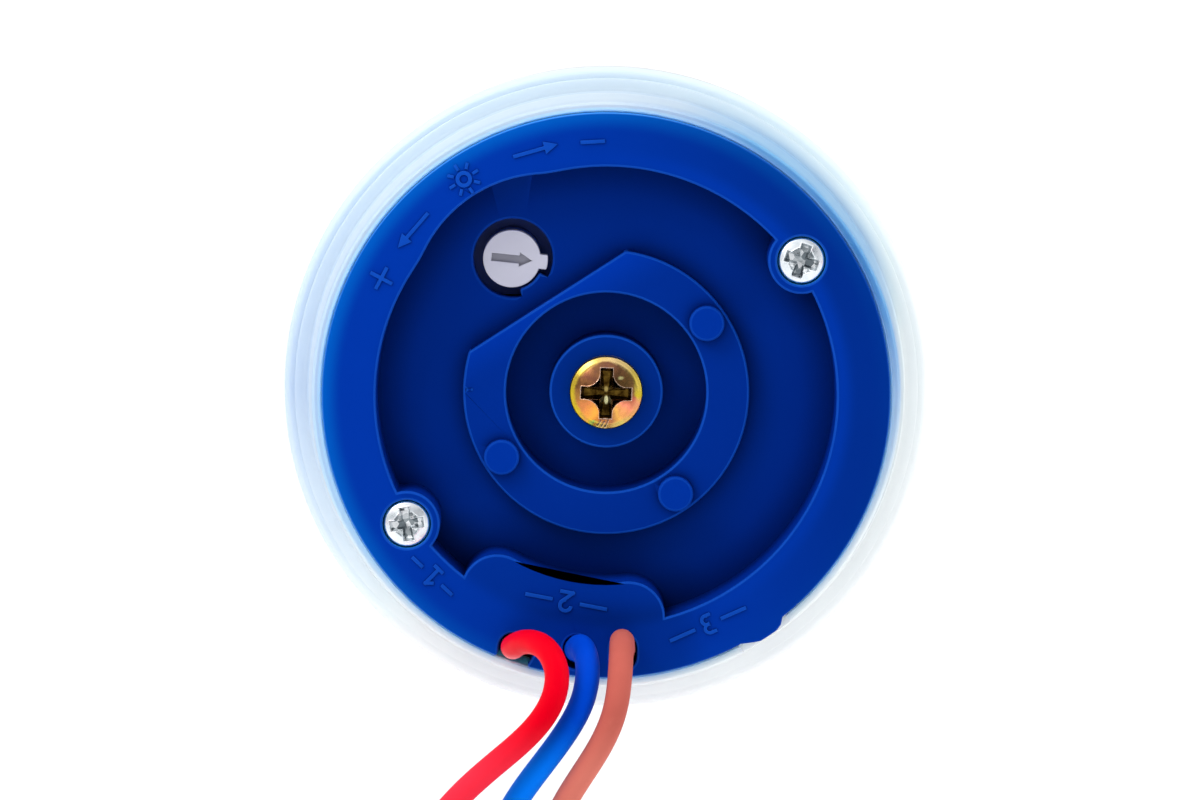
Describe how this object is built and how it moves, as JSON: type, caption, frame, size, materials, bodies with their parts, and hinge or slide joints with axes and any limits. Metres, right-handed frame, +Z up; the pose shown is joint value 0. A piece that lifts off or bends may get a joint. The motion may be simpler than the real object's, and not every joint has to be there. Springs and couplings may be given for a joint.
{
  "type": "photocell switch",
  "caption": "Round outdoor day-night photocell switch: opal dome, blue moulded base with a bracket seat, light level adjuster and hanging leads.",
  "frame": {"origin": "on the axis of the base, in the plane of the raised seat where the bracket is clamped", "axes": "-Y out of the base towards the bracket, +Y towards the dome, +Z up, the way the photocell is held with its leads hanging"},
  "size_m": [0.075, 0.0676, 0.1925],
  "materials": {
    "opal_plastic": "satin opal, slightly translucent",
    "blue_plastic": "moulded, satin",
    "bright_zinc": "bright zinc plate",
    "yellow_zinc": "yellow passivated zinc, iridescent",
    "brass": "turned",
    "seal_rubber": "matt",
    "grey_plastic": "moulded, matt",
    "dark_plastic": "moulded",
    "board_laminate": "paper laminate",
    "relay_case": "moulded",
    "capacitor_case": "moulded",
    "varistor_coat": "dipped",
    "zener_glass": "glassy",
    "resistor_coat": "lacquer",
    "dropper_coat": "lacquer",
    "ldr_face": "clear lacquer over a zigzag track",
    "tinned_wire": "tinned copper",
    "red_insulation": "extruded, satin",
    "blue_insulation": "extruded, satin",
    "brown_insulation": "extruded, satin"
  },
  "bodies": {
    "housing": {"cover": "opal_plastic", "base": "blue_plastic", "cover_screws": "bright_zinc", "bracket_screw": "yellow_zinc", "brass_insert": "brass", "seal_ring": "seal_rubber", "trimmer_body": "dark_plastic", "circuit_board": "board_laminate", "board_screws": "bright_zinc", "relay": "relay_case", "film_capacitor": "capacitor_case", "electrolytic_capacitor": "dark_plastic", "varistor": "varistor_coat", "rectifier_diodes": "dark_plastic", "zener_diode": "zener_glass", "transistor": "dark_plastic", "resistors": "resistor_coat", "dropper_resistor": "dropper_coat", "ldr": "ldr_face", "ldr_legs": "tinned_wire", "ldr_holder": "dark_plastic", "red_lead": "red_insulation", "blue_lead": "blue_insulation", "brown_lead": "brown_insulation", "red_lead_end": "tinned_wire", "blue_lead_end": "tinned_wire", "brown_lead_end": "tinned_wire"},
    "adjuster": {"lux_knob": "grey_plastic"}
  },
  "joints": [
    {"name": "lux_adjust", "type": "hinge", "parent": "housing", "child": "adjuster", "pos_m": [-0.01095, 0.0029, 0.0153], "axis": [0, -1, 0], "range_deg": [-5, 265]}
  ]
}
